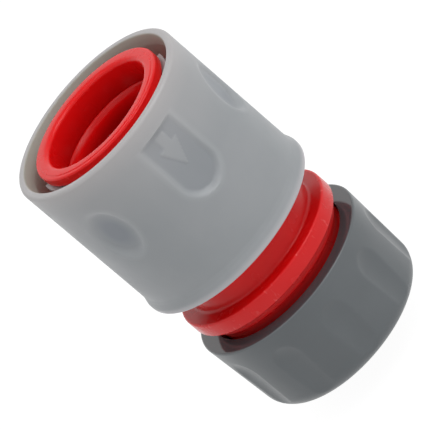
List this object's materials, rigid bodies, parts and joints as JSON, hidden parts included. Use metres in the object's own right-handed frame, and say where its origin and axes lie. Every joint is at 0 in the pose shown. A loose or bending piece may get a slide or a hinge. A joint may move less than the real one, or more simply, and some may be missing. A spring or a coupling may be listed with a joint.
{
  "type": "garden hose quick connector",
  "caption": "Garden hose quick connector: sprung locking sleeve round a click-in socket, red body with flange, and a clamping nut that grips the hose.",
  "frame": {"origin": "centre of the nut's rear face, on which the connector stands", "axes": "+Z along the axis towards the mouth; -Y is the side that the picture shows"},
  "size_m": [0.038, 0.038, 0.0626],
  "materials": {
    "red_plastic": "moulded, glossy",
    "light_grey_plastic": "moulded, satin, faintly translucent",
    "dark_grey_plastic": "moulded, satin",
    "off_white_plastic": "moulded, satin",
    "spring_steel": "drawn wire, bright"
  },
  "bodies": {
    "socket": {"socket_body": "red_plastic", "front_ring": "red_plastic", "collar_spring": "spring_steel"},
    "collar": {"locking_collar": "light_grey_plastic"},
    "pawl_1_body": {"pawl_1": "off_white_plastic"},
    "pawl_2_body": {"pawl_2": "off_white_plastic"},
    "pawl_3_body": {"pawl_3": "off_white_plastic"},
    "pawl_4_body": {"pawl_4": "off_white_plastic"},
    "pawl_5_body": {"pawl_5": "off_white_plastic"},
    "clamp": {"claw_ring": "off_white_plastic"},
    "nut": {"hose_nut": "dark_grey_plastic"}
  },
  "joints": [
    {"name": "collar_slide", "type": "slide", "parent": "socket", "child": "collar", "axis": [0, 0, -1], "range_m": [0, 0.005], "stiffness_N_per_m": 200, "springref_m": -0.01, "deforming": ["collar_spring"]},
    {"name": "pawl_1_slide", "type": "slide", "parent": "collar", "child": "pawl_1_body", "axis": [0, -1, 0], "range_m": [0, 0.00125]},
    {"name": "pawl_2_slide", "type": "slide", "parent": "collar", "child": "pawl_2_body", "axis": [0.9511, -0.309, 0], "range_m": [0, 0.00125]},
    {"name": "pawl_3_slide", "type": "slide", "parent": "collar", "child": "pawl_3_body", "axis": [0.5878, 0.809, 0], "range_m": [0, 0.00125]},
    {"name": "pawl_4_slide", "type": "slide", "parent": "collar", "child": "pawl_4_body", "axis": [-0.5878, 0.809, 0], "range_m": [0, 0.00125]},
    {"name": "pawl_5_slide", "type": "slide", "parent": "collar", "child": "pawl_5_body", "axis": [-0.9511, -0.309, 0], "range_m": [0, 0.00125]},
    {"name": "claw_slide", "type": "slide", "parent": "socket", "child": "clamp", "axis": [0, 0, -1], "range_m": [-0.0012, 0.006]},
    {"name": "nut_turn", "type": "hinge", "parent": "clamp", "child": "nut", "pos_m": [0, 0, 0], "axis": [0, 0, -1], "range_deg": [-145, 721]}
  ],
  "couplings": [
    {"joint": "pawl_1_slide", "follows": "collar_slide", "ratio": 0.24},
    {"joint": "pawl_2_slide", "follows": "collar_slide", "ratio": 0.24},
    {"joint": "pawl_3_slide", "follows": "collar_slide", "ratio": 0.24},
    {"joint": "pawl_4_slide", "follows": "collar_slide", "ratio": 0.24},
    {"joint": "pawl_5_slide", "follows": "collar_slide", "ratio": 0.24},
    {"joint": "nut_turn", "follows": "claw_slide", "rad_per_m": 2094.4}
  ]
}
